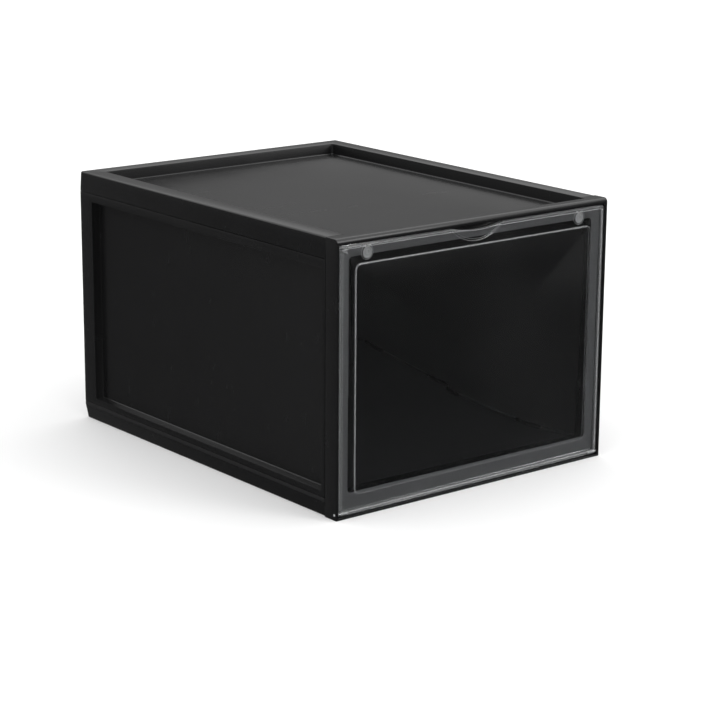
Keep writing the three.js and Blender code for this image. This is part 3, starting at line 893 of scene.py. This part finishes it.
clear_door = mould_door()
clear_moulding("clear_plastic_skin").put_on(clear_door)
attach(clear_door, "door")
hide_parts("door")


# ---- Catch discs, magnets and pins -----------------------------------------------------------
# Two turned and plated discs are pressed into the back of the door and held by magnets in the
# frame behind them. The door turns on two short drawn pins at its lower corners.

class Turned(Rod):
    def face_ring(self, level, radius, sink):
        """Presses a ring or a dimple into the face at that level along Y."""
        self.faces(lambda at, normal: near(at.y, level) and normal.y < -0.9)
        bpy.ops.mesh.inset(thickness=radius)
        return self.extrude(y=sink)


def turn_disc(name, side):
    x = side * disc_x
    part = Turned(name, disc_radius, (x, disc_low[1], disc_z), (x, disc_high[1], disc_z), 64)
    part.face_ring(disc_low[1], 0.9 * MM, 0.25 * MM)
    groove = disc_low[1] + 0.25 * MM
    part.face_ring(groove, 1.3 * MM, -0.15 * MM)
    part.face_ring(groove - 0.15 * MM, 0.8 * MM, 0.6 * MM)
    part.ease(0.12 * MM, 3, 40)
    return part.finish()


def turn_magnet(name, side):
    x = side * magnet_x
    part = Turned(name, magnet_radius, (x, magnet_low[1], magnet_z), (x, magnet_high[1], magnet_z))
    part.ease(0.25 * MM, 3)
    return part.finish()


def draw_pin(name, side):
    part = Rod(
        name, pin_radius,
        (side * half_width, hinge_y, hinge_z), (side * pin_inner_end, hinge_y, hinge_z))
    part.ease(0.2 * MM, 2)
    return part.finish()


def bright_metal(name, colour, roughness, metallic=1.0):
    """Metal with fine turning marks round the middle of each disc. Below 1, metallic lets the pale base
    colour show as a painted reflection, so the piece is paler.
    """
    finish = Finish(name)
    out_x = abs(finish.x) - disc_x
    out_z = finish.z - disc_z
    feed = 0.12 * MM
    turning = ((out_x * out_x + out_z * out_z).root() * (2 * math.pi / feed)).sine()
    cloud = finish.noise(900, 3)
    finish.surface(finish.node("ShaderNodeBsdfPrincipled", {}, {
        "Base Color": finish.blend(cloud, colour, tuple(0.85 * c for c in colour[:3]) + (1,)),
        "Metallic": metallic,
        "Roughness": roughness + cloud * 0.12,
        "Normal": finish.bump(turning, 0.002 * MM),
    }, "BSDF"))
    return finish


# The discs and pins are half metal: their pale base colour is a painted reflection that keeps them pale.
nickel = bright_metal("nickel_plate_skin", (0.97, 0.97, 0.97, 1), 0.34, 0.4)
steel = bright_metal("drawn_steel_skin", (0.92, 0.92, 0.93, 1), 0.34, 0.5)
dull_plate = bright_metal("magnet_skin", (0.52, 0.52, 0.54, 1), 0.32)
for side, hand in ((-1, "left"), (1, "right")):
    disc = turn_disc("catch_disc_" + hand, side)
    nickel.put_on(disc)
    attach(disc, "door")
    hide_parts("door_disc_" + hand)
    magnet = turn_magnet("magnet_" + hand, side)
    dull_plate.put_on(magnet)
    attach(magnet, "carcass")
    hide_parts("frame_magnet_" + hand)
    pin = draw_pin("pin_" + hand, side)
    steel.put_on(pin)
    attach(pin, "carcass")
    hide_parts("hinge_pin_" + hand)


# ---- Studio ----------------------------------------------------------------------------------
# A plain pale floor under a soft sky of light that is brightest overhead, with one softbox in front
# and to the right. Below the horizon the sky is dim, and dimmest in front, so that the clear door
# mirrors little.

def lay_floor():
    bpy.ops.object.select_all(action="DESELECT")
    bpy.ops.mesh.primitive_plane_add(size=60, location=(0, 0, 0))
    floor = bpy.context.object
    floor.name = "floor"
    paper = Finish("pale_paper")
    tone = paper.blend(paper.noise(3, 2), (0.93, 0.93, 0.93, 1), (0.91, 0.91, 0.91, 1))
    paper.surface(paper.node(
        "ShaderNodeBsdfPrincipled", {},
        {"Base Color": tone, "Roughness": 0.9, "Specular IOR Level": 0}, "BSDF"))
    paper.put_on(floor)
    floor.visible_glossy = False
    floor.visible_transmission = False


def light_sky():
    sky = Finish("studio", bpy.data.worlds, "Generated")
    leftwards = (0.75 * sky.y - 0.6 * sky.x).between(-0.2, 0.5)
    below = 0.02 + leftwards * 0.08
    horizon = 0.225
    overhead = 1.3
    level = sky.z.between(-0.06, 0.04)
    strength = below * (1 - level) + horizon * level + overhead * sky.z.between(0.33, 0.55)
    background = sky.node("ShaderNodeBackground", {}, {"Color": (1, 1, 1, 1), "Strength": strength})
    output = sky.tree.nodes.new("ShaderNodeOutputWorld")
    sky.tree.links.new(background.socket, output.inputs["Surface"])
    bpy.context.scene.world = sky.material
    bpy.context.scene.view_settings.view_transform = "Standard"


def hang_softbox():
    data = bpy.data.lights.new("softbox", "AREA")
    data.shape = "RECTANGLE"
    data.size = 1.0
    data.size_y = 1.6
    data.energy = 16
    softbox = bpy.data.objects.new("softbox", data)
    place = Vector((1.1, -2.2, 1.5))
    middle_of_box = Vector((0, 0, 0.1))
    softbox.location = place
    softbox.rotation_euler = (middle_of_box - place).to_track_quat("-Z", "Y").to_euler()
    bpy.context.collection.objects.link(softbox)


hang_softbox()
lay_floor()
light_sky()
